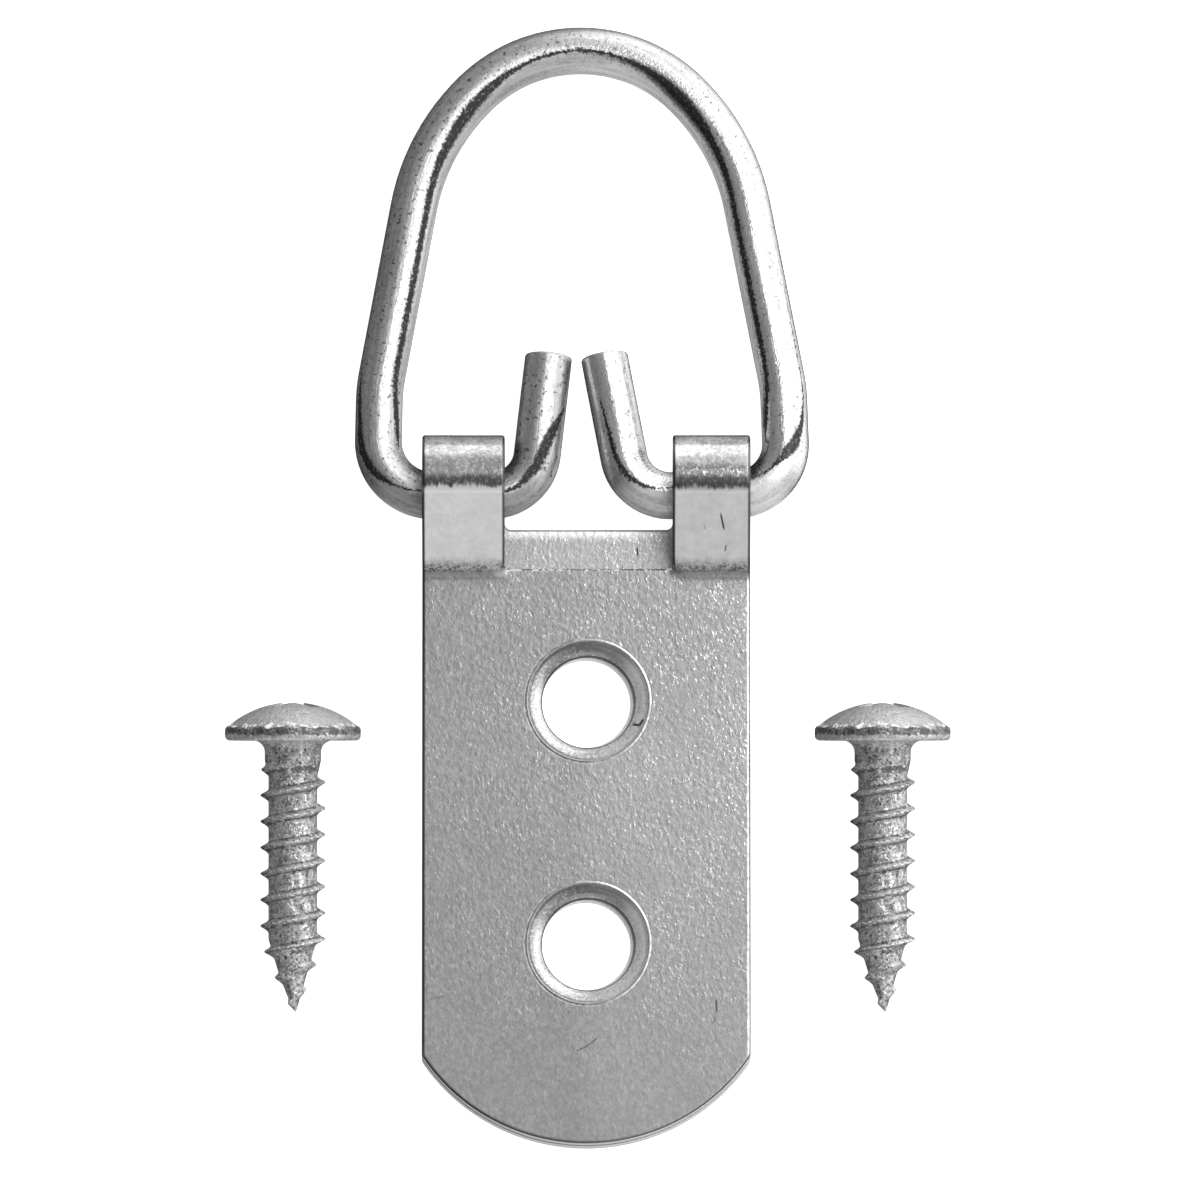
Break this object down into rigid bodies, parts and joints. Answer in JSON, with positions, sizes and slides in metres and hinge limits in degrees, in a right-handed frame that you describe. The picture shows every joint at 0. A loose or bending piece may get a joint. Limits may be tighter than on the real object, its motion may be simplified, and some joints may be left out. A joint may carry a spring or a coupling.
{
  "type": "d-ring picture hanger",
  "caption": "Folded sheet-steel strap with countersunk screw holes, a swinging wire D-ring held in its rolled knuckles, and loose pan-head screws to fix it to a picture frame.",
  "frame": {"origin": "on the strap's back face, midway between the screw holes", "axes": "+Z out of the strap's front face, +Y along the strap towards the ring, +X to the right as seen from the front"},
  "size_m": [0.0386, 0.0606, 0.0071],
  "materials": {
    "strap": "zinc plated, fine grain",
    "ring": "bright zinc plated wire",
    "screw": "zinc plated"
  },
  "bodies": {
    "strap": {"strap": "strap"},
    "ring": {"d_ring": "ring"},
    "left_screw": {"screw_left": "screw"},
    "right_screw": {"screw_right": "screw"}
  },
  "joints": [
    {"name": "ring_swing", "type": "hinge", "parent": "strap", "child": "ring", "pos_m": [0, 0.01757, 0.0022], "axis": [1, 0, 0], "range_deg": [0, 172]},
    {"name": "left_screw_lift", "type": "slide", "parent": "strap", "child": "left_screw", "axis": [0, 0, 1], "range_m": [0, 0.03]},
    {"name": "right_screw_lift", "type": "slide", "parent": "strap", "child": "right_screw", "axis": [0, 0, 1], "range_m": [0, 0.03]}
  ]
}
